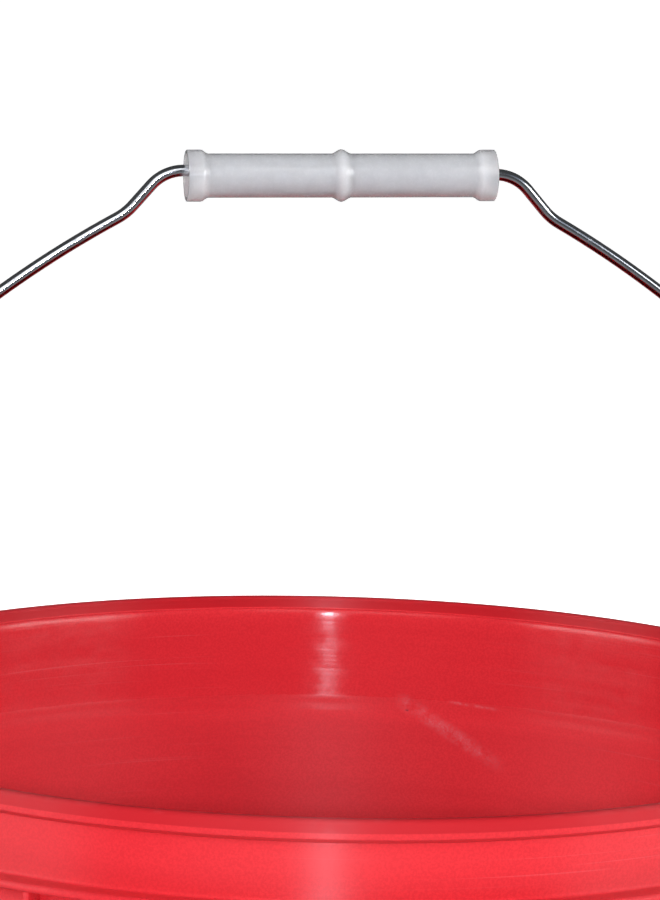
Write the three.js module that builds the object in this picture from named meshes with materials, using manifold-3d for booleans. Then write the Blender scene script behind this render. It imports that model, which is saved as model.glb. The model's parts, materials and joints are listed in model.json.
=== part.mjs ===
// A moulded plastic wash bucket with a swinging wire bail and a plastic hand grip that spins on it.
// Millimetres, +Z up. The origin is on the ground, at the centre of the foot ring. The bail pivots
// about a line along X and stands upright in the XZ plane.

import * as THREE from 'three';
import { mergeVertices } from 'three/addons/utils/BufferGeometryUtils.js';
import Module from 'manifold-3d';

const { degToRad } = THREE.MathUtils;

// Bucket body: overall sizes and walls
const BUCKET_HEIGHT = 368;
const RIM_RADIUS = 151;
const BASE_RADIUS = 131;
const WALL = 2.3;
const FLOOR_THICKNESS = 2.6;
const FLOOR_FILLET = 8;
const FOOT_HEIGHT = 3.5;
const FOOT_WIDTH = 4;
const HEEL_RADIUS = 1.6;

// Lip, and the upper band of the wall below it
const LIP_THICKNESS = 3.1;
const LIP_BEAD_HEIGHT = 5;
const LIP_EDGE_RADIUS = 1.2;
const LIP_FACE_HEIGHT = 3.3;
const LEDGE_WIDTH = 1.6;
const LEDGE_HEIGHT = 4.2;
const BAND_DRAFT = degToRad(0.8);
const STEP_WIDTH = 0.7;
const STEP_HEIGHT = 3;

// Stiffening collar, and the stacking skirt below it; drops are measured down from the top of the lip
const COLLAR_DROP = 21;
const COLLAR_REACH = 6.2;
const COLLAR_THICKNESS = 2.2;
const SKIRT_DROP = 35;
const SKIRT_REACH = 7.6;
const SKIRT_HEIGHT = 18;
const SKIRT_THICKNESS = 2.2;
const SKIRT_EDGE_RADIUS = 1.2;
const GUSSET_COUNT = 24;
const GUSSET_THICKNESS = 1.8;
const GUSSET_INSET = 1.2;

// Ears that the bail hooks into, on +X and -X
const PIVOT_DROP = 50;
const EAR_RADIUS = 13;
const EAR_PROUD = 2.3;
const EAR_RIB_THICKNESS = 2;
const EAR_RIB_INSET = 2;
const PIVOT_CLEARANCE = 0.4;

// Bail wire
const WIRE_DIAMETER = 3.2;
const BAIL_RISE = 142.8;
const SHOULDER_BEND_RADIUS = 11.8;
const SHOULDER_SLOPE = degToRad(48.9);
const SHOULDER_LENGTH = 7.3;
const NECK_BEND_RADIUS = 15.8;
const NECK_SLOPE = degToRad(29.1);
const HIP_RADIUS = 73;
const HIP_RISE = 10.56;
const HOOK_BEND_RADIUS = 4.2;
const HOOK_REACH = 3.3;
const LEG_CLEARANCE = 0.5;

// Hand grip
const GRIP_LENGTH = 84.4;
const GRIP_DIAMETER = 11.9;
const GRIP_RING_DIAMETER = 14.2;
const GRIP_RING_WIDTH = 5.5;
const GRIP_FLANGE_DIAMETER = 14;
const GRIP_FLANGE_LENGTH = 3.8;
const GRIP_FLARE_LENGTH = 2.2;
const GRIP_MOUTH_WALL = 1.1;
const GRIP_MOUTH_DEPTH = 6;
const GRIP_TILT = degToRad(0.78);
const GRIP_HANG = 0.8;
const WIRE_GAP = 0.3;

// Facets and joining
const BODY_SEGMENTS = 64;
const GRIP_SEGMENTS = 24;
const WIRE_SIDES = 12;
const HOLE_SIDES = 20;
const EDGE_STEPS = 3;
const COLLAR_STEPS = 4;
const FILLET_STEPS = 5;
const SOFT_STEPS = 4;
const BEND_STEP = degToRad(13);
const LONGEST_ARC_STEP = 15;
const WELD = 0.6;

// Sizes that follow from the ones above
const SKIRT_TOP = BUCKET_HEIGHT - SKIRT_DROP;
const SKIRT_BOTTOM = SKIRT_TOP - SKIRT_HEIGHT;
const LEDGE_UNDERSIDE = SKIRT_TOP - SKIRT_THICKNESS;
const COLLAR_TOP = BUCKET_HEIGHT - COLLAR_DROP;
const COLLAR_UNDERSIDE = COLLAR_TOP - COLLAR_THICKNESS;
const PIVOT_HEIGHT = BUCKET_HEIGHT - PIVOT_DROP;
const BAND_TOP = BUCKET_HEIGHT - LIP_FACE_HEIGHT - LEDGE_HEIGHT;
const STEP_TOP = SKIRT_TOP;
const STEP_BOTTOM = STEP_TOP - STEP_HEIGHT;
const FLOOR_TOP = FOOT_HEIGHT + FLOOR_THICKNESS;
const SKIRT_RADIUS = bandInner(SKIRT_TOP) + WALL + SKIRT_REACH;
const SKIRT_INNER_RADIUS = SKIRT_RADIUS - SKIRT_THICKNESS;
const COLLAR_RADIUS = bandInner(COLLAR_TOP) + WALL + COLLAR_REACH;
const EAR_FACE = SKIRT_RADIUS + EAR_PROUD;
const WIRE_RADIUS = WIRE_DIAMETER / 2;
const LEG_X = EAR_FACE + LEG_CLEARANCE + HOOK_BEND_RADIUS;
const HOOK_TIP_X = SKIRT_INNER_RADIUS - HOOK_REACH;
const BAIL_TOP = BUCKET_HEIGHT + BAIL_RISE;
const GRIP_BORE_RADIUS = WIRE_RADIUS + GRIP_HANG + (GRIP_LENGTH / 2) * Math.sin(GRIP_TILT) + WIRE_GAP;

const wasm = await Module();
wasm.setup();

// Inner radius of the upper band of the wall at height z.
function bandInner(z) {
  return RIM_RADIUS - LIP_THICKNESS - LEDGE_WIDTH - (BAND_TOP - z) * Math.tan(BAND_DRAFT);
}

// Inner radius of the tapered wall below the step at height z.
function wallInner(z) {
  const top = bandInner(STEP_TOP) - STEP_WIDTH;
  return THREE.MathUtils.mapLinear(z, 0, STEP_BOTTOM, BASE_RADIUS - WALL, top);
}

// Outer radius of the wall at height z, on either side of the step.
function wallOuter(z) {
  return (z > SKIRT_TOP ? bandInner(z) : wallInner(z)) + WALL;
}

function point(r, z) {
  return new THREE.Vector2(r, z);
}

// Points along a round corner, between two angles in degrees.
function corner(r, z, radius, from, to, steps) {
  return Array.from({ length: steps + 1 }, (_, i) => {
    const angle = degToRad(THREE.MathUtils.lerp(from, to, i / steps));
    return point(r + radius * Math.cos(angle), z + radius * Math.sin(angle));
  });
}

// Points down a soft S-shaped step from one radius to another.
function softStep(fromR, fromZ, toR, toZ) {
  return Array.from({ length: SOFT_STEPS + 1 }, (_, i) => {
    const t = i / SOFT_STEPS;
    const r = THREE.MathUtils.lerp(fromR, toR, THREE.MathUtils.smoothstep(t, 0, 1));
    return point(r, THREE.MathUtils.lerp(fromZ, toZ, t));
  });
}

// The closed geometry as a manifold solid, after equal vertices are merged and slivers dropped.
function toSolid(geometry) {
  const bare = new THREE.BufferGeometry();
  bare.setAttribute('position', geometry.getAttribute('position'));
  bare.setIndex(geometry.getIndex());
  const merged = mergeVertices(bare, 1e-3);
  const index = merged.getIndex().array;
  const triVerts = [];
  for (let i = 0; i < index.length; i += 3) {
    const [a, b, c] = [index[i], index[i + 1], index[i + 2]];
    if (a !== b && b !== c && c !== a) triVerts.push(a, b, c);
  }
  return new wasm.Manifold(new wasm.Mesh({
    numProp: 3,
    vertProperties: Float32Array.from(merged.getAttribute('position').array),
    triVerts: Uint32Array.from(triVerts),
  }));
}

function toGeometry(solid) {
  const mesh = solid.getMesh();
  const geometry = new THREE.BufferGeometry();
  geometry.setAttribute('position', new THREE.BufferAttribute(mesh.vertProperties, 3));
  geometry.setIndex(new THREE.BufferAttribute(mesh.triVerts, 1));
  return geometry;
}

// A profile of (radius, height) points turned about Z.
function revolve(profile, segments) {
  return new THREE.LatheGeometry(profile, segments).rotateX(Math.PI / 2);
}

// Underside, foot ring and the tapered wall, up to the underside of the skirt's ledge.
function outsideBelowSkirt() {
  const footInner = BASE_RADIUS - FOOT_WIDTH;
  return [
    point(0, FOOT_HEIGHT),
    point(footInner, FOOT_HEIGHT),
    point(footInner, 0),
    ...corner(wallOuter(HEEL_RADIUS) - HEEL_RADIUS, HEEL_RADIUS, HEEL_RADIUS, -90, 0, EDGE_STEPS),
    point(wallOuter(LEDGE_UNDERSIDE), LEDGE_UNDERSIDE),
  ];
}

// The skirt hanging from its ledge, then the thin collar above it.
function skirtAndCollar() {
  const edge = SKIRT_EDGE_RADIUS;
  const collarEdge = COLLAR_THICKNESS / 2;
  return [
    point(SKIRT_INNER_RADIUS, LEDGE_UNDERSIDE),
    point(SKIRT_INNER_RADIUS, SKIRT_BOTTOM),
    point(SKIRT_RADIUS, SKIRT_BOTTOM),
    ...corner(SKIRT_RADIUS - edge, SKIRT_TOP - edge, edge, 0, 90, EDGE_STEPS),
    point(bandInner(SKIRT_TOP) + WALL, SKIRT_TOP),
    point(wallOuter(COLLAR_UNDERSIDE), COLLAR_UNDERSIDE),
    ...corner(COLLAR_RADIUS - collarEdge, COLLAR_TOP - collarEdge, collarEdge, -90, 90, COLLAR_STEPS),
    point(wallOuter(COLLAR_TOP), COLLAR_TOP),
  ];
}

// The lip: an outer bead, a rounded top edge and an upright inner face.
function lip() {
  const edge = LIP_EDGE_RADIUS;
  const underside = BUCKET_HEIGHT - LIP_BEAD_HEIGHT;
  const inner = RIM_RADIUS - LIP_THICKNESS;
  return [
    point(wallOuter(underside - edge), underside - edge),
    point(RIM_RADIUS, underside),
    ...corner(RIM_RADIUS - edge, BUCKET_HEIGHT - edge, edge, 0, 90, EDGE_STEPS),
    ...corner(inner + edge, BUCKET_HEIGHT - edge, edge, 90, 180, EDGE_STEPS),
  ];
}

// The inside, from the lip's face down over the ledge and the step to the middle of the floor.
function inside() {
  const faceBottom = BUCKET_HEIGHT - LIP_FACE_HEIGHT;
  const filletTop = wallInner(FLOOR_TOP + FLOOR_FILLET);
  return [
    ...softStep(RIM_RADIUS - LIP_THICKNESS, faceBottom, bandInner(BAND_TOP), BAND_TOP),
    ...softStep(bandInner(STEP_TOP), STEP_TOP, wallInner(STEP_BOTTOM), STEP_BOTTOM),
    ...corner(filletTop - FLOOR_FILLET, FLOOR_TOP + FLOOR_FILLET, FLOOR_FILLET, 0, -90, FILLET_STEPS),
    point(0, FLOOR_TOP),
  ];
}

// An upright plate in the (radius, height) plane, centred on the XZ plane and turned to its angle.
function radialPlate(outline, thickness, offset, angle) {
  const plate = new THREE.ExtrudeGeometry(new THREE.Shape(outline), {
    depth: thickness,
    bevelEnabled: false,
  });
  plate.rotateX(Math.PI / 2).translate(0, offset + thickness / 2, 0).rotateZ(angle);
  return toSolid(plate);
}

// A gusset that joins the skirt's inside to the wall.
function skirtGusset(angle) {
  const bottom = SKIRT_BOTTOM + GUSSET_INSET;
  const top = LEDGE_UNDERSIDE + WELD;
  const outer = SKIRT_INNER_RADIUS + WELD;
  const outline = [
    point(wallOuter(bottom) - WELD, bottom),
    point(outer, bottom),
    point(outer, top),
    point(wallOuter(top) - WELD, top),
  ];
  return radialPlate(outline, GUSSET_THICKNESS, 0, angle);
}

// A gusset that stands on the skirt's ledge and props the collar.
function collarGusset(angle) {
  const bottom = SKIRT_TOP - WELD;
  const top = COLLAR_UNDERSIDE + WELD;
  const inner = bandInner(SKIRT_TOP) + WALL - WELD;
  const outer = COLLAR_RADIUS - GUSSET_INSET;
  const outline = [point(inner, bottom), point(outer, bottom), point(outer, top), point(inner, top)];
  return radialPlate(outline, GUSSET_THICKNESS, 0, angle);
}

// One of the two ribs that tie an ear's plate to the wall behind it.
function earRib(side, angle) {
  const bottom = PIVOT_HEIGHT - EAR_RADIUS / 2;
  const top = LEDGE_UNDERSIDE + WELD;
  const outer = SKIRT_RADIUS;
  const outline = [
    point(wallOuter(bottom) - WELD, bottom),
    point(outer, bottom),
    point(outer, top),
    point(wallOuter(top) - WELD, top),
  ];
  const offset = side * (EAR_RADIUS - EAR_RIB_INSET - EAR_RIB_THICKNESS / 2);
  return radialPlate(outline, EAR_RIB_THICKNESS, offset, angle);
}

// The ear's flat plate: square at the top, round about the pivot at the bottom, drawn looking along X.
function earPlate(angle) {
  const outline = new THREE.Shape();
  outline.moveTo(EAR_RADIUS, SKIRT_TOP);
  outline.lineTo(-EAR_RADIUS, SKIRT_TOP);
  outline.lineTo(-EAR_RADIUS, PIVOT_HEIGHT);
  outline.absarc(0, PIVOT_HEIGHT, EAR_RADIUS, Math.PI, 2 * Math.PI, false);
  const plate = new THREE.ExtrudeGeometry(outline, {
    depth: EAR_FACE - SKIRT_INNER_RADIUS,
    bevelEnabled: false,
    curveSegments: HOLE_SIDES / 4,
  });
  plate.rotateX(Math.PI / 2).rotateZ(Math.PI / 2).translate(SKIRT_INNER_RADIUS, 0, 0);
  return toSolid(plate.rotateZ(angle));
}

// The hole that a hook of the bail turns in.
function pivotHole(angle) {
  const length = EAR_FACE - SKIRT_INNER_RADIUS + 2 * WELD;
  const radius = WIRE_RADIUS + PIVOT_CLEARANCE;
  const hole = new THREE.CylinderGeometry(radius, radius, length, HOLE_SIDES);
  hole.rotateZ(Math.PI / 2).translate((EAR_FACE + SKIRT_INNER_RADIUS) / 2, 0, PIVOT_HEIGHT);
  return toSolid(hole.rotateZ(angle));
}

function bucketBody() {
  const profile = [...outsideBelowSkirt(), ...skirtAndCollar(), ...lip(), ...inside()];
  let body = toSolid(revolve(profile, BODY_SEGMENTS));
  for (let i = 0; i < GUSSET_COUNT; i += 1) {
    const angle = (2 * Math.PI * (i + 0.5)) / GUSSET_COUNT;
    body = body.add(skirtGusset(angle)).add(collarGusset(angle));
  }
  for (const angle of [0, Math.PI]) {
    body = body.add(earPlate(angle)).add(earRib(1, angle)).add(earRib(-1, angle));
    body = body.subtract(pivotHole(angle));
  }
  return toGeometry(body);
}

// A stretch of the wire is an arc: a point on it at heading s, the angle below level that the wire
// runs at there, is centre + radius * (sin s, cos s). A negative radius bends the other way.
function arcPoint({ x, z, radius }, heading) {
  return point(x + radius * Math.sin(heading), z + radius * Math.cos(heading));
}

// The centre of the arc that passes through a point at a heading.
function arcThrough(at, radius, heading) {
  return { x: at.x - radius * Math.sin(heading), z: at.y - radius * Math.cos(heading), radius };
}

// The arc that leaves a point at a heading and runs smoothly into the next arc.
function arcInto(next, at, heading) {
  const dx = at.x - next.x;
  const dz = at.y - next.z;
  const alongRadius = dx * Math.sin(heading) + dz * Math.cos(heading);
  const radius = (dx ** 2 + dz ** 2 - next.radius ** 2) / (2 * (alongRadius - next.radius));
  return arcThrough(at, radius, heading);
}

// The arcs of the bail's +X half, from the middle of the grip to the hook, with straight wire between.
function halfBailArcs() {
  const bend = arcThrough(point(GRIP_LENGTH / 2 + LEG_CLEARANCE, BAIL_TOP), SHOULDER_BEND_RADIUS, 0);
  const slopeTop = arcPoint(bend, SHOULDER_SLOPE);
  const slopeBottom = point(
    slopeTop.x + SHOULDER_LENGTH * Math.cos(SHOULDER_SLOPE),
    slopeTop.y - SHOULDER_LENGTH * Math.sin(SHOULDER_SLOPE),
  );
  const neck = arcThrough(slopeBottom, -NECK_BEND_RADIUS, SHOULDER_SLOPE);
  const hip = { x: LEG_X - HIP_RADIUS, z: BUCKET_HEIGHT + HIP_RISE, radius: HIP_RADIUS };
  const side = arcInto(hip, arcPoint(neck, NECK_SLOPE), NECK_SLOPE);
  const hipHeading = Math.asin((hip.x - side.x) / (side.radius - hip.radius));
  const hook = {
    x: LEG_X - HOOK_BEND_RADIUS,
    z: PIVOT_HEIGHT + HOOK_BEND_RADIUS,
    radius: HOOK_BEND_RADIUS,
  };
  return [
    [bend, 0, SHOULDER_SLOPE],
    [neck, SHOULDER_SLOPE, NECK_SLOPE],
    [side, NECK_SLOPE, hipHeading],
    [hip, hipHeading, Math.PI / 2],
    [hook, Math.PI / 2, Math.PI],
  ];
}

// Stations along an arc, close enough to follow it.
function arcStations([arc, from, to]) {
  const turn = Math.abs(to - from);
  const bySweep = turn / BEND_STEP;
  const byLength = (turn * Math.abs(arc.radius)) / LONGEST_ARC_STEP;
  const steps = Math.ceil(Math.max(bySweep, byLength));
  return Array.from({ length: steps + 1 }, (_, i) => {
    const heading = THREE.MathUtils.lerp(from, to, i / steps);
    const { x, y } = arcPoint(arc, heading);
    return { position: new THREE.Vector3(x, 0, y), heading };
  });
}

function mirrored({ position, heading }) {
  return { position: position.clone().setX(-position.x), heading: -heading };
}

// The centre line of the whole bail, from the -X hook's tip to the +X hook's tip.
function bailStations() {
  const half = halfBailArcs().flatMap(arcStations);
  half.push({ position: new THREE.Vector3(HOOK_TIP_X, 0, PIVOT_HEIGHT), heading: Math.PI });
  return [...half.map(mirrored).reverse(), ...half];
}

// A path that ExtrudeGeometry steps along station by station, so bends get more steps than straights.
class StationPath extends THREE.Curve {
  constructor(stations) {
    super();
    this.stations = stations;
  }

  getUtoTmapping(u) {
    return u;
  }

  nearest(t) {
    return this.stations[Math.round(t * (this.stations.length - 1))];
  }

  getPoint(t) {
    return this.nearest(t).position.clone();
  }

  getTangent(t) {
    const { heading } = this.nearest(t);
    return new THREE.Vector3(Math.cos(heading), 0, -Math.sin(heading));
  }
}

function bailWire() {
  const section = new THREE.Shape().absarc(0, 0, WIRE_RADIUS, 0, 2 * Math.PI, false);
  const stations = bailStations();
  const wire = new THREE.ExtrudeGeometry(section, {
    steps: stations.length - 1,
    curveSegments: WIRE_SIDES / 2,
    extrudePath: new StationPath(stations),
  });
  return toGeometry(toSolid(wire));
}

// The +X half of the grip's outside, as (radius, distance from the middle) points.
function gripOutside() {
  const half = GRIP_LENGTH / 2;
  const body = GRIP_DIAMETER / 2;
  const flange = GRIP_FLANGE_DIAMETER / 2;
  return [
    ...softStep(GRIP_RING_DIAMETER / 2, 0, body, GRIP_RING_WIDTH / 2),
    point(body, half - GRIP_FLANGE_LENGTH - GRIP_FLARE_LENGTH),
    point(flange, half - GRIP_FLANGE_LENGTH),
    point(flange, half),
  ];
}

// A tube with a ring at its middle, flanged ends and flared mouths, turned about X.
function handGrip() {
  const half = GRIP_LENGTH / 2;
  const outside = gripOutside();
  const bore = [
    point(GRIP_FLANGE_DIAMETER / 2 - GRIP_MOUTH_WALL, half),
    point(GRIP_BORE_RADIUS, half - GRIP_MOUTH_DEPTH),
  ];
  const flip = ({ x, y }) => point(x, -y);
  const profile = [
    ...outside.slice(1).reverse().map(flip),
    ...outside,
    ...bore,
    ...bore.map(flip).reverse(),
  ];
  profile.push(profile[0].clone());
  return toGeometry(toSolid(revolve(profile, GRIP_SEGMENTS).rotateY(Math.PI / 2)));
}

function namedMesh(name, geometry, color, roughness, metalness) {
  const mesh = new THREE.Mesh(geometry, new THREE.MeshStandardMaterial({ color, roughness, metalness }));
  mesh.name = name;
  return mesh;
}

const bucket = new THREE.Group();
bucket.add(namedMesh('bucket_body', bucketBody(), '#cb2f31', 0.32, 0));
bucket.add(namedMesh('bail_wire', bailWire(), '#8f9499', 0.3, 0.9));

const grip = namedMesh('hand_grip', handGrip(), '#cdcfd4', 0.4, 0);
grip.position.set(0, 0, BAIL_TOP - GRIP_HANG);
grip.rotation.y = -GRIP_TILT;
bucket.add(grip);

export default bucket;
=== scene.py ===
import json
import math

import bmesh
import bpy
from mathutils import Matrix, Vector


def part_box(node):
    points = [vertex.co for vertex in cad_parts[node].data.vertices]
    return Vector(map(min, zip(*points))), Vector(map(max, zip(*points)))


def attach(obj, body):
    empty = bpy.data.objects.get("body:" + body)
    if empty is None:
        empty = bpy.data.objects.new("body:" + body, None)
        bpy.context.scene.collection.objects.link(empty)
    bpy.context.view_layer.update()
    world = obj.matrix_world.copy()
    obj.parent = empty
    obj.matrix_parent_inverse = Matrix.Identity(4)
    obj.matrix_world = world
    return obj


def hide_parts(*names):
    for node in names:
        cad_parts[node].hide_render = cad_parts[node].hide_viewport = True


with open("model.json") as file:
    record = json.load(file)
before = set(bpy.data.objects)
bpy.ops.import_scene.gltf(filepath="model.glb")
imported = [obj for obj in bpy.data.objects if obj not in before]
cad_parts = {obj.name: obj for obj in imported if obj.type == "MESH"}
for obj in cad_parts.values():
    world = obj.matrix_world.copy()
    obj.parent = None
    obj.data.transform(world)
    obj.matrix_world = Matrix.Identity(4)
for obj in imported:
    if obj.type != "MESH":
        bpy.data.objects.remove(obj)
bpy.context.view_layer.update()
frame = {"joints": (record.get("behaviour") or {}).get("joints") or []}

MM = 0.001

# ---------------------------------------------------------------- sizes that come from the frame
body_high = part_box("bucket_body")[1]
wire_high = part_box("bail_wire")[1]
joints = {joint["name"]: joint for joint in frame["joints"]}
spin = joints["grip_spin"]

HEIGHT = body_high[2] / MM
SKIRT_RADIUS = body_high[1] / MM
EAR_FACE = body_high[0] / MM
WIRE_RADIUS = wire_high[1] / MM
LEG_X = wire_high[0] / MM - WIRE_RADIUS
BAIL_TOP = wire_high[2] / MM - WIRE_RADIUS
PIVOT_HEIGHT = joints["bail_swing"]["pos_m"][2] / MM
GRIP_CENTRE = Vector(spin["pos_m"])
GRIP_AXIS = Vector(spin["axis"]).normalized()

# ---------------------------------------------------------------- sizes of the bucket's section
RIM_RADIUS = 151.0
BASE_RADIUS = 131.0
WALL = 2.3
FLOOR_THICKNESS = 2.6
FLOOR_FILLET = 8.0
FOOT_HEIGHT = 3.5
FOOT_WIDTH = 4.0
HEEL_RADIUS = 1.6
LIP_THICKNESS = 3.1
LIP_BEAD_HEIGHT = 5.0
LIP_EDGE_RADIUS = 1.2
LIP_FACE_HEIGHT = 3.3
LIP_FACE_LEAN = 0.2
LEDGE_CORNER_RADIUS = 0.35
LEDGE_SLOPE = math.radians(32)
LEDGE_EASE = 1.05
LEDGE_WIDTH = 1.6
LEDGE_HEIGHT = 4.2
BAND_DRAFT = math.radians(0.8)
STEP_WIDTH = 0.7
STEP_HEIGHT = 3.0
STEP_SOFTNESS = 2.5
COLLAR_DROP = 21.0
COLLAR_REACH = 6.2
COLLAR_THICKNESS = 2.2
SKIRT_DROP = 35.0
SKIRT_HEIGHT = 18.0
SKIRT_THICKNESS = 2.2
SKIRT_EDGE_RADIUS = 1.2
SKIRT_HEM_RADIUS = 0.9
ROOT_FILLET = 0.9
GUSSET_COUNT = 24
GUSSET_THICKNESS = 1.8
GUSSET_INSET = 1.2
EAR_RADIUS = 13.0
EAR_RIB_THICKNESS = 2.0
EAR_RIB_INSET = 2.0
EAR_EDGE_RADIUS = 0.8
PIVOT_CLEARANCE = 0.4
EAR_OPENING_MARGIN = 0.8
HOLE_CHAMFER = 0.35
WELD = 0.6
GATE_RADIUS = 1.7
GATE_HEIGHT = 1.1
GATE_PAD_RADIUS = 14.0
GATE_PAD_HEIGHT = 0.35
SINK_DEPTH = 0.07
SINK_WIDTH = 1.6

# ---------------------------------------------------------------- sizes of the bail
SHOULDER_BEND_RADIUS = 11.8
SHOULDER_SLOPE = math.radians(48.9)
SHOULDER_LENGTH = 7.3
NECK_BEND_RADIUS = 15.8
NECK_SLOPE = math.radians(29.1)
HIP_RADIUS = 73.0
HIP_RISE = 10.56
HOOK_BEND_RADIUS = 4.2
HOOK_REACH = 3.3
LEG_CLEARANCE = 0.5
WIRE_END_CHAMFER = 0.35

# ---------------------------------------------------------------- sizes of the grip
GRIP_LENGTH = 84.4
GRIP_DIAMETER = 11.9
GRIP_RING_DIAMETER = 14.2
GRIP_RING_WIDTH = 5.5
GRIP_FLANGE_DIAMETER = 14.0
GRIP_FLANGE_LENGTH = 3.8
GRIP_FLARE_LENGTH = 2.2
GRIP_MOUTH_WALL = 1.1
GRIP_MOUTH_DEPTH = 6.0
GRIP_BORE_RADIUS = 3.27
GRIP_EDGE_RADIUS = 0.35
LIP_UNDER_EDGE_RADIUS = 0.4
FOOT_EDGE_RADIUS = 0.5
FOOT_FILLET = 1.0
GUSSET_EDGE_RADIUS = 0.25
EAR_RIB_EDGE_RADIUS = 0.3
HOLE_COLLAR = 2.0

# ---------------------------------------------------------------- mesh density
BODY_SEGMENTS = 256
GRIP_SEGMENTS = 96
WIRE_SIDES = 32
HOLE_SIDES = 96
BEND_STEP = math.radians(3)
LONGEST_ARC_STEP = 4.0
LONGEST_WALL_STEP = 9.0
SHARP_ANGLE = math.radians(50)

SKIRT_TOP = HEIGHT - SKIRT_DROP
SKIRT_BOTTOM = SKIRT_TOP - SKIRT_HEIGHT
LEDGE_UNDERSIDE = SKIRT_TOP - SKIRT_THICKNESS
COLLAR_TOP = HEIGHT - COLLAR_DROP
COLLAR_UNDERSIDE = COLLAR_TOP - COLLAR_THICKNESS
BAND_TOP = HEIGHT - LIP_FACE_HEIGHT - LEDGE_HEIGHT
STEP_BOTTOM = SKIRT_TOP - STEP_HEIGHT
FLOOR_TOP = FOOT_HEIGHT + FLOOR_THICKNESS
SKIRT_INNER_RADIUS = SKIRT_RADIUS - SKIRT_THICKNESS
EAR_OPENING_BOTTOM = SKIRT_BOTTOM + SKIRT_HEM_RADIUS
EAR_OPENING_TOP = PIVOT_HEIGHT + WIRE_RADIUS + PIVOT_CLEARANCE + EAR_OPENING_MARGIN


# ---------------------------------------------------------------- the bucket's section
def band_inner(z):
    """Inner radius of the upper band of the wall."""
    return RIM_RADIUS - LIP_THICKNESS - LEDGE_WIDTH - (BAND_TOP - z) * math.tan(BAND_DRAFT)


def wall_inner(z):
    """Inner radius of the tapered wall below the step."""
    top = band_inner(SKIRT_TOP) - STEP_WIDTH
    return BASE_RADIUS - WALL + (top - BASE_RADIUS + WALL) * z / STEP_BOTTOM


def wall_outer(z):
    return (band_inner(z) if z > SKIRT_TOP else wall_inner(z)) + WALL


COLLAR_RADIUS = band_inner(COLLAR_TOP) + WALL + COLLAR_REACH


def corner(r, z, radius, start, end, steps=6):
    """Points along a round corner about (r, z), between two angles in degrees."""
    angles = [math.radians(start + (end - start) * i / steps) for i in range(steps + 1)]
    return [(r + radius * math.cos(a), z + radius * math.sin(a)) for a in angles]


def soft_step(from_r, from_z, to_r, to_z, steps=10):
    """Points down a soft S-shaped step."""
    points = []
    for i in range(steps + 1):
        t = i / steps
        points.append((from_r + (to_r - from_r) * t * t * (3 - 2 * t), from_z + (to_z - from_z) * t))
    return points


def straight(start, end):
    """The points between two points, close enough together for even faces, without either end."""
    count = math.ceil(math.dist(start, end) / LONGEST_WALL_STEP)
    return [tuple(a + (b - a) * i / count for a, b in zip(start, end)) for i in range(1, count)]


def sunk_band(z_from, z_to, centres):
    """The band's inner face going down, with the shallow sink marks that the collar leaves in it."""
    points = []
    z = z_from
    while z >= z_to:
        sink = sum(math.exp(-(((z - c) / SINK_WIDTH) ** 2)) for c in centres)
        points.append((band_inner(z) + SINK_DEPTH * sink, z))
        z -= SINK_WIDTH / 2
    return points


def outside_below_skirt():
    foot_inner = BASE_RADIUS - FOOT_WIDTH
    pad = FOOT_HEIGHT - GATE_PAD_HEIGHT
    heel = corner(wall_outer(HEEL_RADIUS) - HEEL_RADIUS, HEEL_RADIUS, HEEL_RADIUS, -90, 0)
    root = (wall_outer(LEDGE_UNDERSIDE - ROOT_FILLET), LEDGE_UNDERSIDE - ROOT_FILLET)
    return [
        (0, pad - GATE_HEIGHT),
        (GATE_RADIUS * 0.6, pad - GATE_HEIGHT),
        (GATE_RADIUS * 0.9, pad - GATE_HEIGHT * 0.8),
        (GATE_RADIUS, pad - GATE_HEIGHT * 0.3),
        (GATE_RADIUS * 1.3, pad),
        (GATE_PAD_RADIUS, pad),
        (GATE_PAD_RADIUS + GATE_PAD_HEIGHT, FOOT_HEIGHT),
        *straight((GATE_PAD_RADIUS + GATE_PAD_HEIGHT, FOOT_HEIGHT), (foot_inner - FOOT_FILLET, FOOT_HEIGHT)),
        *corner(foot_inner - FOOT_FILLET, FOOT_HEIGHT - FOOT_FILLET, FOOT_FILLET, 90, 0),
        *corner(foot_inner + FOOT_EDGE_RADIUS, FOOT_EDGE_RADIUS, FOOT_EDGE_RADIUS, 180, 270),
        *heel,
        *straight(heel[-1], root),
        *corner(root[0] + ROOT_FILLET, root[1], ROOT_FILLET, 180, 90),
    ]


def skirt_and_collar():
    edge = SKIRT_EDGE_RADIUS
    collar_edge = COLLAR_THICKNESS / 2
    hem = SKIRT_HEM_RADIUS
    ledge_root = band_inner(SKIRT_TOP) + WALL + ROOT_FILLET
    collar_root = wall_outer(COLLAR_UNDERSIDE) + ROOT_FILLET
    return [
        (SKIRT_INNER_RADIUS, LEDGE_UNDERSIDE),
        *straight((SKIRT_INNER_RADIUS, LEDGE_UNDERSIDE), (SKIRT_INNER_RADIUS, EAR_OPENING_TOP)),
        (SKIRT_INNER_RADIUS, EAR_OPENING_TOP),
        *corner(SKIRT_INNER_RADIUS + hem, SKIRT_BOTTOM + hem, hem, 180, 270, 4),
        *corner(SKIRT_RADIUS - hem, SKIRT_BOTTOM + hem, hem, -90, 0, 4),
        (SKIRT_RADIUS, EAR_OPENING_TOP),
        *straight((SKIRT_RADIUS, EAR_OPENING_TOP), (SKIRT_RADIUS, SKIRT_TOP - edge)),
        *corner(SKIRT_RADIUS - edge, SKIRT_TOP - edge, edge, 0, 90),
        *corner(ledge_root, SKIRT_TOP + ROOT_FILLET, ROOT_FILLET, 270, 180),
        *corner(collar_root, COLLAR_UNDERSIDE - ROOT_FILLET, ROOT_FILLET, 180, 90),
        *corner(COLLAR_RADIUS - collar_edge, COLLAR_TOP - collar_edge, collar_edge, -90, 90, 10),
        *corner(wall_outer(COLLAR_TOP) + ROOT_FILLET, COLLAR_TOP + ROOT_FILLET, ROOT_FILLET, 270, 180),
    ]


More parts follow.
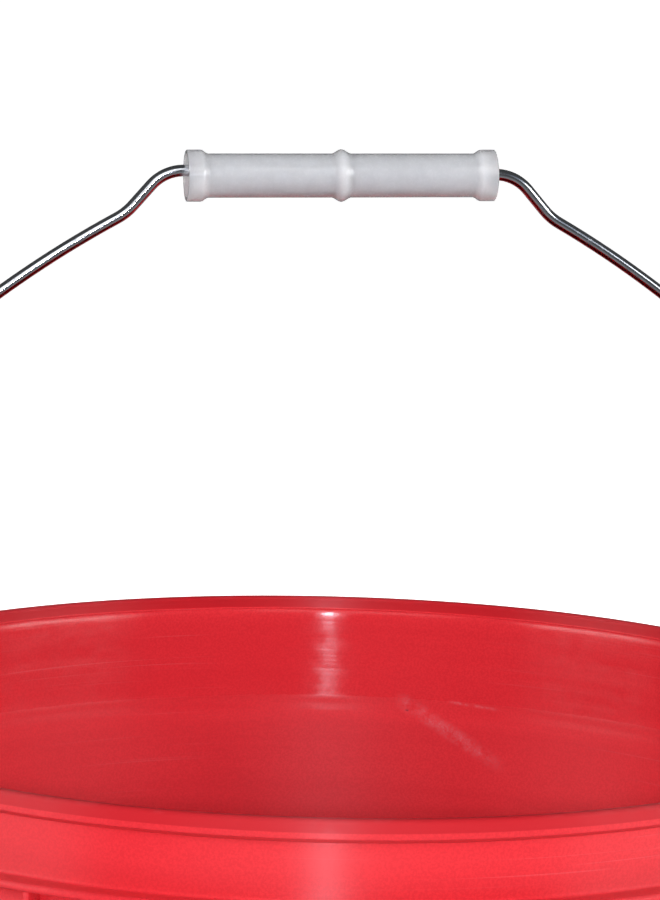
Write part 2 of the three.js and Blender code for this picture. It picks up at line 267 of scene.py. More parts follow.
def lip():
    edge, under_edge = LIP_EDGE_RADIUS, LIP_UNDER_EDGE_RADIUS
    underside = HEIGHT - LIP_BEAD_HEIGHT
    inner = RIM_RADIUS - LIP_THICKNESS - LIP_FACE_LEAN
    below = (wall_outer(underside - edge), underside - edge)
    return [
        *straight((wall_outer(COLLAR_TOP), COLLAR_TOP), below),
        below,
        *corner(RIM_RADIUS - under_edge, underside + under_edge, under_edge, -60, 0, 4),
        *corner(RIM_RADIUS - edge, HEIGHT - edge, edge, 0, 90, 8),
        *corner(inner + edge, HEIGHT - edge, edge, 90, 180, 8),
    ]


def ledge():
    """The small ledge under the lip's leaning face, and the wall easing down from its edge."""
    face = RIM_RADIUS - LIP_THICKNESS
    shelf = HEIGHT - LIP_FACE_HEIGHT - LEDGE_CORNER_RADIUS
    drop = shelf - BAND_TOP
    eased = LEDGE_EASE * math.tan(LEDGE_SLOPE)
    points = corner(face - LEDGE_CORNER_RADIUS, shelf + LEDGE_CORNER_RADIUS, LEDGE_CORNER_RADIUS, 0, -80, 4)
    for i in range(21):
        down = drop * (i / 20) ** 1.5
        points.append((band_inner(BAND_TOP) + eased * math.exp(-down / LEDGE_EASE), shelf - 0.15 - down))
    return [(r, z) for r, z in points if z > BAND_TOP]


def inside():
    fillet_z = FLOOR_TOP + FLOOR_FILLET
    fillet_r = wall_inner(fillet_z) - FLOOR_FILLET
    collar_middle = COLLAR_TOP - COLLAR_THICKNESS / 2
    step_top, step_end = SKIRT_TOP + STEP_SOFTNESS, STEP_BOTTOM - STEP_SOFTNESS
    step = soft_step(band_inner(step_top), step_top, wall_inner(step_end), step_end, 16)
    fillet = corner(fillet_r, fillet_z, FLOOR_FILLET, 0, -90, 12)
    return [
        *ledge(),
        *sunk_band(BAND_TOP - 1, step_top + 0.8, [collar_middle]),
        *step,
        *straight(step[-1], fillet[0]),
        *fillet,
        *straight(fillet[-1], (6, FLOOR_TOP)),
        (3, FLOOR_TOP),
        (0, FLOOR_TOP),
    ]


# ---------------------------------------------------------------- mesh helpers
def revolve(bm, profile, segments):
    """Turns (radius, height) points about Z. The first and the last point lie on the axis."""
    turns = [2 * math.pi * i / segments for i in range(segments)]
    poles = [bm.verts.new((0, 0, profile[i][1] * MM)) for i in (0, -1)]
    rings = [
        [bm.verts.new((r * MM * math.cos(a), r * MM * math.sin(a), z * MM)) for a in turns]
        for r, z in profile[1:-1]
    ]
    for i in range(segments):
        j = (i + 1) % segments
        bm.faces.new((poles[0], rings[0][j], rings[0][i]))
        bm.faces.new((poles[1], rings[-1][i], rings[-1][j]))
        for lower, upper in zip(rings, rings[1:]):
            bm.faces.new((lower[i], lower[j], upper[j], upper[i]))


def loop_of_rings(bm, rings):
    """Joins equal rings of points, given in metres, into a closed skin. The last ring meets the first."""
    verts = [[bm.verts.new(p) for p in ring] for ring in rings]
    for ring, following in zip(verts, verts[1:] + verts[:1]):
        for i in range(len(ring)):
            j = (i + 1) % len(ring)
            bm.faces.new((ring[i], ring[j], following[j], following[i]))


def rounded_plate(bm, outline, thickness, bevel, place):
    """An upright plate with softened edges. The outline is in (radius, height), the plate is centred on
    the XZ plane, and place then moves it."""
    part = bmesh.new()
    front = [part.verts.new((r * MM, -thickness / 2 * MM, z * MM)) for r, z in outline]
    face = part.faces.new(front)
    out = bmesh.ops.extrude_face_region(part, geom=[face])
    back = [v for v in out["geom"] if isinstance(v, bmesh.types.BMVert)]
    bmesh.ops.translate(part, verts=back, vec=(0, thickness * MM, 0))
    bmesh.ops.recalc_face_normals(part, faces=part.faces)
    bmesh.ops.bevel(part, geom=part.edges[:], offset=bevel * MM, segments=2, profile=0.5, affect="EDGES")
    bmesh.ops.transform(part, matrix=place, verts=part.verts)
    mesh = bpy.data.meshes.new("plate")
    part.to_mesh(mesh)
    part.free()
    bm.from_mesh(mesh)
    bpy.data.meshes.remove(mesh)


def finished(bm, name, material):
    """A smooth-shaded object from the mesh, with its hard edges kept."""
    bmesh.ops.recalc_face_normals(bm, faces=bm.faces)
    mesh = bpy.data.meshes.new(name)
    bm.to_mesh(mesh)
    bm.free()
    mesh.materials.append(material)
    mesh.polygons.foreach_set("use_smooth", [True] * len(mesh.polygons))
    mesh.set_sharp_from_angle(angle=SHARP_ANGLE)
    made = bpy.data.objects.new(name, mesh)
    bpy.context.scene.collection.objects.link(made)
    return made


# ---------------------------------------------------------------- the bucket
def gussets(bm):
    bottom = SKIRT_BOTTOM + GUSSET_INSET
    top = LEDGE_UNDERSIDE + WELD
    behind_skirt = [
        (wall_outer(bottom) - WELD, bottom),
        (SKIRT_INNER_RADIUS + WELD, bottom),
        (SKIRT_INNER_RADIUS + WELD, top),
        (wall_outer(top) - WELD, top),
    ]
    inner = band_inner(SKIRT_TOP) + WALL - WELD
    outer = COLLAR_RADIUS - GUSSET_INSET
    under_collar = [
        (inner, SKIRT_TOP - WELD),
        (outer, SKIRT_TOP - WELD),
        (outer, COLLAR_UNDERSIDE + WELD),
        (inner, COLLAR_UNDERSIDE + WELD),
    ]
    for i in range(GUSSET_COUNT):
        turn = Matrix.Rotation(2 * math.pi * (i + 0.5) / GUSSET_COUNT, 4, "Z")
        rounded_plate(bm, behind_skirt, GUSSET_THICKNESS, GUSSET_EDGE_RADIUS, turn)
        rounded_plate(bm, under_collar, GUSSET_THICKNESS, GUSSET_EDGE_RADIUS, turn)


def open_skirt(bm, side):
    """Opens the skirt behind an ear, inside the ear's own plate, so that its hole goes right through."""
    half_width = 2 * math.pi * SKIRT_RADIUS / BODY_SEGMENTS

    def behind_ear(face):
        x, y, z = face.calc_center_median() / MM
        beside = side * x > SKIRT_INNER_RADIUS - 1 and abs(y) < half_width
        return beside and EAR_OPENING_BOTTOM < z < EAR_OPENING_TOP

    cut = [face for face in bm.faces if behind_ear(face)]
    rims = [e for face in cut for e in face.edges if sum(other in cut for other in e.link_faces) == 1]
    bmesh.ops.delete(bm, geom=cut, context="FACES")
    bmesh.ops.bridge_loops(bm, edges=rims)


def ear_edge(angle):
    """Distance from the pivot to the ear's outline: round below, square above."""
    side, rise = math.cos(angle), math.sin(angle)
    if rise <= 0:
        return EAR_RADIUS
    to_side = EAR_RADIUS / max(abs(side), 1e-6)
    return min(to_side, (SKIRT_TOP - PIVOT_HEIGHT) / rise)


def ear_angles():
    """Even steps about the pivot, and the two square corners exactly."""
    square = math.atan2(SKIRT_TOP - PIVOT_HEIGHT, EAR_RADIUS)
    even = [2 * math.pi * i / HOLE_SIDES for i in range(HOLE_SIDES)]
    return sorted(even + [square, math.pi - square])


def ear_plate(bm, turn):
    """The plate with its hole, as rings about the pivot: hole, front face, rounded edge, side, back."""
    hole = WIRE_RADIUS + PIVOT_CLEARANCE
    edge = EAR_EDGE_RADIUS
    rounding = [math.radians(90 * i / 4) for i in range(5)]
    rings = [(hole, 0, SKIRT_INNER_RADIUS), (hole, 0, EAR_FACE - HOLE_CHAMFER)]
    rings.append((hole + HOLE_CHAMFER, 0, EAR_FACE))
    rings.append((hole + HOLE_COLLAR, 0, EAR_FACE))
    rings += [(None, edge * (1 - math.sin(a)), EAR_FACE - edge * (1 - math.cos(a))) for a in rounding]
    rings.append((None, 0, SKIRT_INNER_RADIUS))
    rings.append((hole + HOLE_COLLAR, 0, SKIRT_INNER_RADIUS))

    def place(angle, radius, inset, x):
        reach = radius if radius is not None else ear_edge(angle) - inset
        y, z = reach * math.cos(angle), PIVOT_HEIGHT + reach * math.sin(angle)
        return turn @ Vector((x * MM, y * MM, z * MM))

    loop_of_rings(bm, [[place(a, *ring) for a in ear_angles()] for ring in rings])


def ear_ribs(bm, turn):
    bottom = PIVOT_HEIGHT - EAR_RADIUS / 2
    top = LEDGE_UNDERSIDE + WELD
    outline = [
        (wall_outer(bottom) - WELD, bottom),
        (SKIRT_RADIUS, bottom),
        (SKIRT_RADIUS, top),
        (wall_outer(top) - WELD, top),
    ]
    offset = (EAR_RADIUS - EAR_RIB_INSET - EAR_RIB_THICKNESS / 2) * MM
    for side in (1, -1):
        shift = Matrix.Translation((0, side * offset, 0))
        rounded_plate(bm, outline, EAR_RIB_THICKNESS, EAR_RIB_EDGE_RADIUS, turn @ shift)


def bucket(material):
    bm = bmesh.new()
    revolve(bm, outside_below_skirt() + skirt_and_collar() + lip() + inside(), BODY_SEGMENTS)
    open_skirt(bm, 1)
    open_skirt(bm, -1)
    gussets(bm)
    for angle in (0, math.pi):
        turn = Matrix.Rotation(angle, 4, "Z")
        ear_plate(bm, turn)
        ear_ribs(bm, turn)
    return finished(bm, "bucket", material)


# ---------------------------------------------------------------- the bail
def arc_point(arc, heading):
    """A point on an arc (x, z, radius) where the wire runs at that angle below level."""
    x, z, radius = arc
    return x + radius * math.sin(heading), z + radius * math.cos(heading)


def arc_through(at, radius, heading):
    return at[0] - radius * math.sin(heading), at[1] - radius * math.cos(heading), radius


def arc_into(following, at, heading):
    """The arc that leaves a point at a heading and runs smoothly into the next arc."""
    dx, dz = at[0] - following[0], at[1] - following[1]
    along = dx * math.sin(heading) + dz * math.cos(heading)
    radius = (dx ** 2 + dz ** 2 - following[2] ** 2) / (2 * (along - following[2]))
    return arc_through(at, radius, heading)


def half_bail_arcs():
    """The +X half of the bail: (arc, heading at its start, heading at its end)."""
    start = (GRIP_LENGTH / 2 + LEG_CLEARANCE, BAIL_TOP)
    bend = arc_through(start, SHOULDER_BEND_RADIUS, 0)
    slope_top = arc_point(bend, SHOULDER_SLOPE)
    slope_bottom = (
        slope_top[0] + SHOULDER_LENGTH * math.cos(SHOULDER_SLOPE),
        slope_top[1] - SHOULDER_LENGTH * math.sin(SHOULDER_SLOPE),
    )
    neck = arc_through(slope_bottom, -NECK_BEND_RADIUS, SHOULDER_SLOPE)
    hip = (LEG_X - HIP_RADIUS, HEIGHT + HIP_RISE, HIP_RADIUS)
    side = arc_into(hip, arc_point(neck, NECK_SLOPE), NECK_SLOPE)
    hip_heading = math.asin((hip[0] - side[0]) / (side[2] - HIP_RADIUS))
    hook = (LEG_X - HOOK_BEND_RADIUS, PIVOT_HEIGHT + HOOK_BEND_RADIUS, HOOK_BEND_RADIUS)
    return [
        (bend, 0, SHOULDER_SLOPE),
        (neck, SHOULDER_SLOPE, NECK_SLOPE),
        (side, NECK_SLOPE, hip_heading),
        (hip, hip_heading, math.pi / 2),
        (hook, math.pi / 2, math.pi),
    ]


def half_bail_stations():
    """(x, z, heading) along the +X half, from the middle of the grip to the hook's tip."""
    stations = [(GRIP_LENGTH / 2 * i / 10, BAIL_TOP, 0) for i in range(10)]
    for arc, start, end in half_bail_arcs():
        turn = abs(end - start)
        steps = math.ceil(max(turn / BEND_STEP, turn * abs(arc[2]) / LONGEST_ARC_STEP))
        for i in range(steps + 1):
            heading = start + (end - start) * i / steps
            stations.append((*arc_point(arc, heading), heading))
    tip = SKIRT_INNER_RADIUS - HOOK_REACH
    for inset in (2 * WIRE_END_CHAMFER, WIRE_END_CHAMFER, 0):
        stations.append((tip + inset, PIVOT_HEIGHT, math.pi))
    return stations


def bail(material):
    """The wire, with its section turned along the path. The attribute 'drawn' holds the direction
    around the wire in its first two values and the distance along it in metres in the third."""
    half = half_bail_stations()
    stations = [(-x, z, -heading) for x, z, heading in half[:0:-1]] + half
    bm = bmesh.new()
    drawn = bm.verts.layers.float_vector.new("drawn")
    rings = []
    distance = 0.0
    for index, (x, z, heading) in enumerate(stations):
        if index:
            distance += math.dist(stations[index - 1][:2], (x, z)) * MM
        at_end = index in (0, len(stations) - 1)
        radius = WIRE_RADIUS - (WIRE_END_CHAMFER if at_end else 0)
        ring = []
        for i in range(WIRE_SIDES):
            angle = 2 * math.pi * i / WIRE_SIDES
            out, side = radius * math.cos(angle), radius * math.sin(angle)
            across, up = x + out * math.sin(heading), z + out * math.cos(heading)
            vert = bm.verts.new((across * MM, side * MM, up * MM))
            vert[drawn] = (math.cos(angle), math.sin(angle), distance)
            ring.append(vert)
        rings.append(ring)
    for ring, following in zip(rings, rings[1:]):
        for i in range(WIRE_SIDES):
            j = (i + 1) % WIRE_SIDES
            bm.faces.new((ring[i], ring[j], following[j], following[i]))
    bm.faces.new(rings[0][::-1])
    bm.faces.new(rings[-1])
    return finished(bm, "bail", material)


# ---------------------------------------------------------------- the grip
def grip_half_outside():
    """The +X half of the outside as (radius, distance from the middle)."""
    half = GRIP_LENGTH / 2
    body, flange = GRIP_DIAMETER / 2, GRIP_FLANGE_DIAMETER / 2
    flare_start = half - GRIP_FLANGE_LENGTH - GRIP_FLARE_LENGTH
    ring = [(r, x) for r, x in soft_step(GRIP_RING_DIAMETER / 2, 0, body, GRIP_RING_WIDTH / 2, 14)]
    plain = [(body, ring[-1][1] + (flare_start - ring[-1][1]) * i / 12) for i in range(1, 12)]
    flare = soft_step(body, flare_start, flange, half - GRIP_FLANGE_LENGTH, 10)
    end = corner(flange - GRIP_EDGE_RADIUS, half - GRIP_EDGE_RADIUS, GRIP_EDGE_RADIUS, 0, 90, 5)
    return ring + plain + flare + end


def grip_half_bore():
    """The mouth's rounded lip, the flared mouth and the bore, from the end to the middle."""
    half = GRIP_LENGTH / 2
    mouth = GRIP_FLANGE_DIAMETER / 2 - GRIP_MOUTH_WALL
    rim = corner(mouth + GRIP_EDGE_RADIUS, half - GRIP_EDGE_RADIUS, GRIP_EDGE_RADIUS, 90, 180, 5)
    flare = soft_step(mouth, half - GRIP_EDGE_RADIUS * 2, GRIP_BORE_RADIUS, half - GRIP_MOUTH_DEPTH, 8)
    bore = [(GRIP_BORE_RADIUS, (half - GRIP_MOUTH_DEPTH) * (6 - i) / 6) for i in range(1, 7)]
    return rim + flare + bore


def grip(material):
    half = grip_half_outside() + grip_half_bore()
    profile = half + [(r, -x) for r, x in half[-2:0:-1]]
    turns = [2 * math.pi * i / GRIP_SEGMENTS for i in range(GRIP_SEGMENTS)]
    to_axis = Vector((1, 0, 0)).rotation_difference(GRIP_AXIS).to_matrix().to_4x4()
    place = Matrix.Translation(GRIP_CENTRE) @ to_axis
    rings = [
        [place @ Vector((x * MM, r * MM * math.cos(a), r * MM * math.sin(a))) for a in turns]
        for r, x in profile
    ]
    bm = bmesh.new()
    loop_of_rings(bm, rings)
    return finished(bm, "grip", material)


# ---------------------------------------------------------------- material helpers
class Shader:
    """A material whose nodes are added one short call at a time."""

    def __init__(self, name):
        self.material = bpy.data.materials.new(name)
        self.material.use_nodes = True
        self.tree = self.material.node_tree
        self.surface = self.tree.nodes["Principled BSDF"]

    def set(self, **values):
        for name, value in values.items():
            self.fill(self.surface.inputs[name.replace("_", " ")], value)

    def fill(self, socket, value):
        if isinstance(value, bpy.types.NodeSocket):
            self.tree.links.new(value, socket)
        else:
            socket.default_value = value

    def add(self, kind, inputs, **settings):
        node = self.tree.nodes.new(kind)
        for name, value in settings.items():
            setattr(node, name, value)
        for name, value in inputs.items():
            self.fill(node.inputs[name], value)
        return node

    def math(self, operation, *values):
        return self.add("ShaderNodeMath", dict(enumerate(values)), operation=operation).outputs[0]

    def position(self):
        return self.add("ShaderNodeTexCoord", {}).outputs["Object"]

    def length(self, vector, *axes):
        """The length of a vector along two of its axes."""
        parts = self.add("ShaderNodeSeparateXYZ", {"Vector": vector}).outputs
        return self.math("SQRT", self.math("ADD", *[self.math("POWER", parts[axis], 2.0) for axis in axes]))

    def stretched(self, vector, scale):
        return self.add("ShaderNodeMapping", {"Vector": vector, "Scale": scale}).outputs[0]

    def noise(self, vector, scale, detail=2.0, roughness=0.5):
        inputs = {"Vector": vector, "Scale": scale, "Detail": detail, "Roughness": roughness}
        return self.add("ShaderNodeTexNoise", inputs).outputs["Fac"]

    def ramp(self, value, low, high, out_low=0.0, out_high=1.0):
        inputs = {"Value": value, "From Min": low, "From Max": high, "To Min": out_low, "To Max": out_high}
        return self.add("ShaderNodeMapRange", inputs, interpolation_type="SMOOTHSTEP").outputs[0]

    def mix(self, share, first, second):
        node = self.add("ShaderNodeMix", {}, data_type="RGBA")
        for socket, value in zip((node.inputs[0], node.inputs[6], node.inputs[7]), (share, first, second)):
            self.fill(socket, value)
        return node.outputs[2]

    def bump(self, height, distance, strength=1.0, normal=None):
        inputs = {"Height": height, "Distance": distance, "Strength": strength}
        if normal is not None:
            inputs["Normal"] = normal
        return self.add("ShaderNodeBump", inputs).outputs[0]


def colour(red, green, blue):
    return (red, green, blue, 1.0)


# ---------------------------------------------------------------- materials
POLYETHYLENE_IOR = 1.51
QUARTER_TURN = 0.25
LEDGE_TOP = HEIGHT - LIP_FACE_HEIGHT


def wall_coordinates(shader):
    """The distance round the wall from +Y towards +X and the height, both in millimetres."""
    parts = shader.add("ShaderNodeSeparateXYZ", {"Vector": shader.position()}).outputs
    angle = shader.math("ARCTAN2", parts["X"], parts["Y"])
    return shader.math("MULTIPLY", angle, band_inner(SKIRT_TOP)), shader.math("DIVIDE", parts["Z"], MM)


def stroke(shader, around, height, start, end, width):
    """A soft stroke between two places on the wall, each (degrees from +Y towards +X, height)."""
    reach = band_inner(SKIRT_TOP)
    (x0, z0), (x1, z1) = [(math.radians(angle) * reach, z) for angle, z in (start, end)]
    length = math.dist((x0, z0), (x1, z1))
    ux, uz = (x1 - x0) / length, (z1 - z0) / length
    dx, dz = shader.math("SUBTRACT", around, x0), shader.math("SUBTRACT", height, z0)
    along = shader.math("ADD", shader.math("MULTIPLY", dx, ux), shader.math("MULTIPLY", dz, uz))
    across = shader.math("SUBTRACT", shader.math("MULTIPLY", dx, uz), shader.math("MULTIPLY", dz, ux))
    side = shader.ramp(shader.math("ABSOLUTE", across), 0.0, width, 1.0, 0.0)
    begin = shader.ramp(along, -width, width)
    finish = shader.ramp(along, length * 0.6, length, 1.0, 0.0)
    return shader.math("MULTIPLY", side, shader.math("MULTIPLY", begin, finish))


def bucket_plastic():
    """Red polyethylene from a turned mould: fine level lines, a few scuffs, wear on the lip, and painted
    shade on the lip's inner face.
    """
    shader = Shader("red_polyethylene")
    place = shader.position()
    around, height = wall_coordinates(shader)
    from_axis = shader.math("DIVIDE", shader.length(place, "X", "Y"), MM)

    lines = shader.noise(shader.stretched(place, (9, 9, 900)), 1.0, 3.0, 0.6)
    bands = shader.noise(shader.stretched(place, (3, 3, 120)), 1.0, 3.0, 0.6)
    waves = shader.noise(shader.stretched(place, (14, 14, 160)), 1.0, 2.0)
    drags = shader.noise(shader.stretched(place, (11, 11, 1500)), 1.0, 2.0)
    patches = shader.ramp(shader.noise(place, 9.0, 2.0), 0.5, 0.65)
    scratches = shader.math("MULTIPLY", shader.ramp(drags, 0.62, 0.74), patches)
    grain = shader.noise(place, 1500.0, 2.0, 0.7)
    blotch = shader.noise(place, 260.0, 4.0, 0.7)
    specks = shader.ramp(grain, 0.35, 0.70, 0.3, 1.0)
    broken = shader.math("MULTIPLY", specks, shader.ramp(blotch, 0.34, 0.64))
    scuff = stroke(shader, around, height, (18.5, 336.5), (33.0, 316.0), 3.4)
    scuff = shader.math("MULTIPLY", scuff, broken)
    rub = shader.math("MULTIPLY", stroke(shader, around, height, (24.6, 336.9), (31.5, 335.6), 0.8), broken)
    nick = stroke(shader, around, height, (19.2, 333.4), (19.6, 333.2), 0.45)
    marks = shader.math("ADD", shader.math("MULTIPLY", scuff, 0.20), shader.math("MULTIPLY", rub, 0.24))
    marks = shader.math("ADD", marks, shader.math("MULTIPLY", scratches, 0.06))

    pigment = shader.ramp(shader.noise(place, 22.0, 4.0), 0.3, 0.7)
    speckle = shader.ramp(grain, 0.38, 0.62)
    red = shader.mix(pigment, colour(0.685, 0.026, 0.034), colour(0.715, 0.031, 0.039))
    red = shader.mix(shader.ramp(bands, 0.3, 0.7, 0.0, 0.30), red, colour(0.58, 0.017, 0.025))
    red = shader.mix(shader.math("MULTIPLY", speckle, 0.42), red, colour(0.53, 0.015, 0.022))
    red = shader.mix(marks, red, colour(0.86, 0.50, 0.55))
    red = shader.mix(nick, red, colour(0.25, 0.02, 0.03))

    lip_wear = shader.math(
        "MULTIPLY",
        shader.ramp(height, HEIGHT - 1.2, HEIGHT - 0.2),
        shader.ramp(shader.noise(place, 140.0, 4.0), 0.52, 0.66),
    )
    red = shader.mix(shader.math("MULTIPLY", lip_wear, 0.25), red, colour(0.78, 0.30, 0.32))

    finish = shader.ramp(height, SKIRT_TOP + 2.2, SKIRT_TOP + 4.8, 0.66, 0.152)
    in_step = shader.math("ABSOLUTE", shader.math("SUBTRACT", height, SKIRT_TOP + 0.6))
    finish = shader.math("SUBTRACT", finish, shader.ramp(in_step, 0.6, 1.9, 0.22, 0.0))
    in_lip = shader.ramp(height, LEDGE_TOP - 0.2, LEDGE_TOP + 0.1)
    finish = shader.math("ADD", finish, shader.math("MULTIPLY", in_lip, 0.30))
    mottle = shader.noise(place, 330.0, 2.0, 0.5)
    finish = shader.math("ADD", finish, shader.ramp(mottle, 0.30, 0.70, 0.0, 0.06))
    # painted shade: the lip's inner face (in_lip) is darkened in its colour to stand in for the shade it
    # gets
    red = shader.mix(shader.math("MULTIPLY", in_lip, 0.9), red, colour(0.48, 0.013, 0.019))
    finish = shader.math("ADD", finish, shader.ramp(waves, 0.3, 0.7, -0.02, 0.02))
    outside = shader.ramp(from_axis, band_inner(BAND_TOP) + 0.7, band_inner(BAND_TOP) + 1.3)
    finish = shader.math("MAXIMUM", finish, shader.math("MULTIPLY", outside, 0.40))
    finish = shader.math("ADD", finish, shader.math("MULTIPLY", marks, 0.5))

    normal = shader.bump(waves, 0.0005, 0.4)
    normal = shader.bump(lines, 0.00005, 0.8, normal)
    normal = shader.bump(grain, 0.000006, 1.0, normal)
    normal = shader.bump(shader.math("MULTIPLY", marks, -1.0), 0.00008, 0.8, normal)
    tangent = shader.add("ShaderNodeTangent", {}, direction_type="RADIAL", axis="Z").outputs[0]
    shader.set(Base_Color=red, Roughness=finish, Normal=normal, Tangent=tangent, Specular_IOR_Level=0.27)
    shader.set(IOR=POLYETHYLENE_IOR, Anisotropic=1.0, Anisotropic_Rotation=QUARTER_TURN)
    return shader.material


def grip_plastic():
    """Milky polyethylene with a faint mottle and a thin gloss."""
    shader = Shader("milky_polyethylene")
    place = shader.position()
    cloud = shader.ramp(shader.noise(place, 240.0, 4.0, 0.6), 0.3, 0.7)
    milky = shader.mix(cloud, colour(0.515, 0.515, 0.520), colour(0.555, 0.555, 0.560))
    fine = shader.noise(place, 1600.0, 2.0)
    finish = shader.ramp(fine, 0.3, 0.7, 0.20, 0.30)
    from_middle = shader.add("ShaderNodeVectorMath", {0: place, 1: GRIP_CENTRE}, operation="SUBTRACT")
    radius = shader.length(from_middle.outputs[0], "Y", "Z")
    thick = shader.ramp(radius, (GRIP_DIAMETER / 2 + 0.15) * MM, GRIP_FLANGE_DIAMETER / 2 * MM, 0.0, 0.7)
    milky = shader.mix(thick, milky, colour(0.63, 0.625, 0.625))
    turned = shader.noise(shader.stretched(place, (1500, 60, 60)), 1.0, 2.0)
    gloss = shader.bump(turned, 0.00001, 1.0)
    normal = shader.bump(shader.noise(place, 420.0, 3.0), 0.00004, 0.5)
    normal = shader.bump(fine, 0.00002, 0.4, normal)
    tangent = shader.add("ShaderNodeTangent", {}, direction_type="RADIAL", axis="X").outputs[0]
    shader.set(Base_Color=milky, Roughness=finish, Normal=normal, Tangent=tangent)
    shader.set(IOR=POLYETHYLENE_IOR, Specular_IOR_Level=0.18)
    shader.set(Anisotropic=1.0, Anisotropic_Rotation=QUARTER_TURN)
    shader.set(Coat_Weight=1.0, Coat_Roughness=0.05, Coat_Normal=gloss)
    shader.set(Subsurface_Weight=1.0, Subsurface_Scale=0.014, Subsurface_Radius=(1.0, 0.95, 0.9))
    return shader.material


def plated_steel():
    """Bright-plated drawn wire: fine lines along it and small dull patches."""
    shader = Shader("plated_steel")
    drawn = shader.add("ShaderNodeAttribute", {}, attribute_name="drawn").outputs["Vector"]
    lines = shader.noise(shader.stretched(drawn, (14, 14, 60)), 1.0, 3.0, 0.6)
    patches = shader.noise(shader.stretched(drawn, (0.6, 0.6, 320)), 1.0, 4.0, 0.65)
    dull = shader.ramp(patches, 0.48, 0.72)
    metal = shader.mix(dull, colour(0.60, 0.62, 0.655), colour(0.40, 0.42, 0.45))
    metal = shader.mix(shader.ramp(lines, 0.50, 0.70, 0.0, 0.55), metal, colour(0.20, 0.215, 0.24))
    dulled = shader.ramp(dull, 0.0, 1.0, 0.09, 0.24)
    finish = shader.math("ADD", dulled, shader.ramp(lines, 0.3, 0.7, 0.0, 0.05))
    normal = shader.bump(lines, 0.00002, 0.5)
    normal = shader.bump(patches, 0.00005, 0.35, normal)
    shader.set(Base_Color=metal, Metallic=1.0, Roughness=finish, Normal=normal)
    return shader.material


# ---------------------------------------------------------------- camera
CAMERA_DISTANCE = 1.05
CAMERA_ELEVATION = math.radians(11.525)
CAMERA_YAW = math.radians(-9.586)
CAMERA_PAN = math.radians(0.068)
CAMERA_TILT = math.radians(3.630)
CAMERA_ROLL = math.radians(1.397)
LENS = 152.30
SENSOR = 36.0

RIM_CENTRE = Vector((0, 0, HEIGHT * MM))


def towards_camera():
    flat = math.cos(CAMERA_ELEVATION)
    return Vector((math.sin(CAMERA_YAW) * flat, -math.cos(CAMERA_YAW) * flat, math.sin(CAMERA_ELEVATION)))


def make_camera():
    """Aims at the middle of the rim, then pans, tilts up and rolls."""
    back = towards_camera()
    right = Vector((0, 0, 1)).cross(back).normalized()
    facing = Matrix((right, back.cross(right), back)).transposed().to_4x4()
    turns = Matrix.Rotation(CAMERA_PAN, 4, "Y") @ Matrix.Rotation(CAMERA_TILT, 4, "X")
    turns = turns @ Matrix.Rotation(CAMERA_ROLL, 4, "Z")
    data = bpy.data.cameras.new("camera")
    data.lens = LENS
    data.sensor_width = SENSOR
    data.clip_start, data.clip_end = 0.05, 60
    camera = bpy.data.objects.new("camera", data)
    camera.matrix_world = Matrix.Translation(RIM_CENTRE + back * CAMERA_DISTANCE) @ facing @ turns
    bpy.context.scene.collection.objects.link(camera)
    bpy.context.scene.camera = camera


# ---------------------------------------------------------------- stage and light
STAGE_RADIUS = 7.5
STAGE_FILLET = 1.2
STAGE_WALL = 2.4
STAGE_SEGMENTS = 128
FADE_SHARE = 0.3
SOFTBOX_DISTANCE = 2.9


def studio_white():
    """Matt white that glows more with distance, so that the far floor is clean white."""
    shader = Shader("studio_white")
    far = shader.length(shader.position(), "X", "Y")
    glow = shader.ramp(far, 0.4, 1.6, 0.25, 0.95)
    shader.set(Base_Color=colour(0.82, 0.82, 0.82), Roughness=0.9, Emission_Color=colour(1, 1, 1))
    shader.set(Emission_Strength=glow)
    return shader.material


def make_stage():
    """A round seamless floor that curves up into a low wall."""
    bend = corner(STAGE_RADIUS - STAGE_FILLET, STAGE_FILLET, STAGE_FILLET, -90, 0, 16)
    profile = [(0.0, 0.0), (0.5, 0.0), (1.0, 0.0), (2.0, 0.0), (4.0, 0.0), *bend, (STAGE_RADIUS, STAGE_WALL)]
    bm = bmesh.new()
    rings = []
    for r, z in profile[1:]:
        turns = [2 * math.pi * i / STAGE_SEGMENTS for i in range(STAGE_SEGMENTS)]
        rings.append([bm.verts.new((r * math.cos(a), r * math.sin(a), z)) for a in turns])
    bm.faces.new(rings[0])
    for lower, upper in zip(rings, rings[1:]):
        for i in range(STAGE_SEGMENTS):
            j = (i + 1) % STAGE_SEGMENTS
            bm.faces.new((lower[i], upper[i], upper[j], lower[j]))
    floor = finished(bm, "seamless_floor", studio_white())
    floor.visible_diffuse = False
    floor.visible_glossy = False


def soften_edges(data):
    """Fades the soft box towards its edges, and keeps its power."""
    data.use_nodes = True
    nodes, links = data.node_tree.nodes, data.node_tree.links
    parts = nodes.new("ShaderNodeSeparateXYZ")
    links.new(nodes.new("ShaderNodeNewGeometry").outputs["Parametric"], parts.inputs[0])
    both = nodes.new("ShaderNodeMath")
    both.operation = "MULTIPLY"
    for index, axis in enumerate(("X", "Y")):
        from_edge = nodes.new("ShaderNodeMath")
        from_edge.operation = "PINGPONG"
        from_edge.inputs[1].default_value = 0.5
        links.new(parts.outputs[axis], from_edge.inputs[0])
        fade = nodes.new("ShaderNodeMapRange")
        fade.interpolation_type = "SMOOTHSTEP"
        fade.inputs["From Max"].default_value = FADE_SHARE
        fade.inputs["To Max"].default_value = 1 / (1 - FADE_SHARE)
        links.new(from_edge.outputs[0], fade.inputs["Value"])
        links.new(fade.outputs[0], both.inputs[index])
    links.new(both.outputs[0], nodes["Emission"].inputs["Strength"])


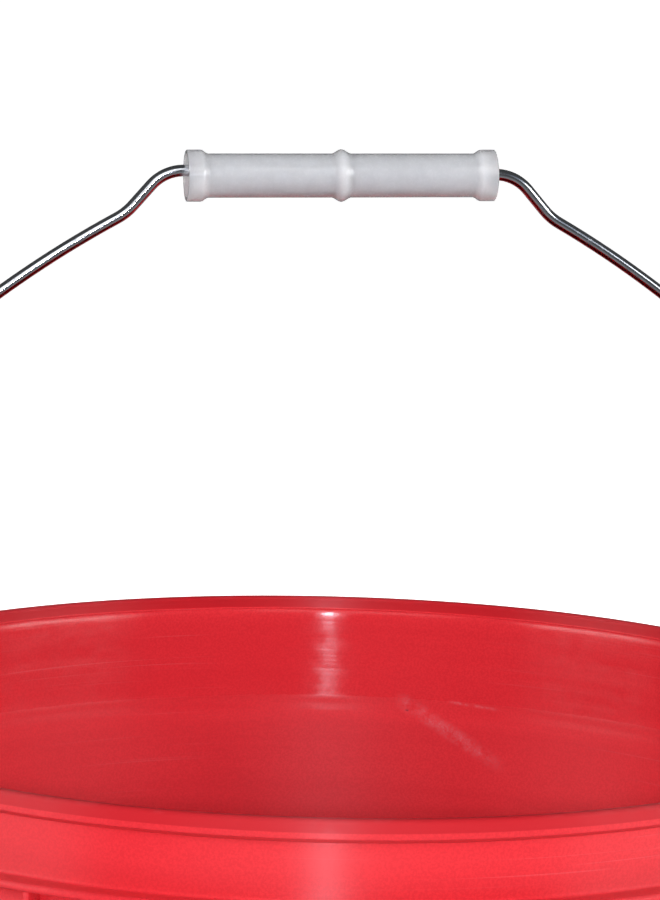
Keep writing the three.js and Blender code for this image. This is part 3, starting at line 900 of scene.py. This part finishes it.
def area_light(name, towards, distance, size, power, tint=(1, 1, 1), soft=True):
    """A soft box that faces the bucket's rim."""
    data = bpy.data.lights.new(name, "AREA")
    data.shape = "RECTANGLE"
    data.size, data.size_y = size
    data.energy = power
    data.color = tint
    if soft:
        soften_edges(data)
    light = bpy.data.objects.new(name, data)
    back = Vector(towards).normalized()
    facing = back.to_track_quat("Z", "Y").to_matrix().to_4x4()
    light.matrix_world = Matrix.Translation(RIM_CENTRE + back * distance) @ facing
    bpy.context.scene.collection.objects.link(light)
    return light


def soft_room():
    """Dim all round, and brighter from below, where the pale floor sends light back."""
    world = bpy.data.worlds.new("soft_room")
    world.use_nodes = True
    nodes, links = world.node_tree.nodes, world.node_tree.links
    direction = nodes.new("ShaderNodeTexCoord").outputs["Generated"]
    parts = nodes.new("ShaderNodeSeparateXYZ")
    links.new(direction, parts.inputs[0])
    level = nodes.new("ShaderNodeMapRange")
    links.new(parts.outputs["Z"], level.inputs["Value"])
    for name, value in {"From Min": -1.0, "From Max": 0.0, "To Min": 0.50, "To Max": 0.075}.items():
        level.inputs[name].default_value = value
    background = nodes["Background"]
    background.inputs["Color"].default_value = colour(0.96, 0.98, 1.0)
    links.new(level.outputs[0], background.inputs["Strength"])
    bpy.context.scene.world = world


def make_lights():
    area_light("front_softbox", (-0.20, -0.76, 0.60), SOFTBOX_DISTANCE, (3.0, 1.9), 20)
    area_light("right_softbox", (0.85, -0.56, 0.32), SOFTBOX_DISTANCE, (2.4, 1.4), 46)
    area_light("left_softbox", (-0.93, -0.24, 0.36), SOFTBOX_DISTANCE, (2.2, 1.6), 45)
    area_light("blue_card", (0.55, -0.70, 0.44), SOFTBOX_DISTANCE, (1.6, 1.6), 1.2, (0.80, 0.92, 1.15))
    area_light("small_flash", (-0.379, -2.323, 0.532), 2.41, (0.03, 0.08), 25, (0.95, 0.97, 1.10), False)
    back = area_light("back_softbox", (0.35, 0.88, 0.22), SOFTBOX_DISTANCE, (2.4, 1.4), 26)
    bounce = area_light("floor_bounce", (0, -0.75, -0.50), 0.60, (1.1, 0.5), 1.7)
    for light in (back, bounce):
        light.visible_glossy = False
    soft_room()


# ---------------------------------------------------------------- the scene
def put(piece, body, node):
    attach(piece, body)
    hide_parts(node)


make_camera()
put(bucket(bucket_plastic()), "bucket", "bucket_body")
put(bail(plated_steel()), "bail", "bail_wire")
put(grip(grip_plastic()), "grip", "hand_grip")
make_stage()
make_lights()
bpy.context.scene.view_settings.view_transform = "Standard"
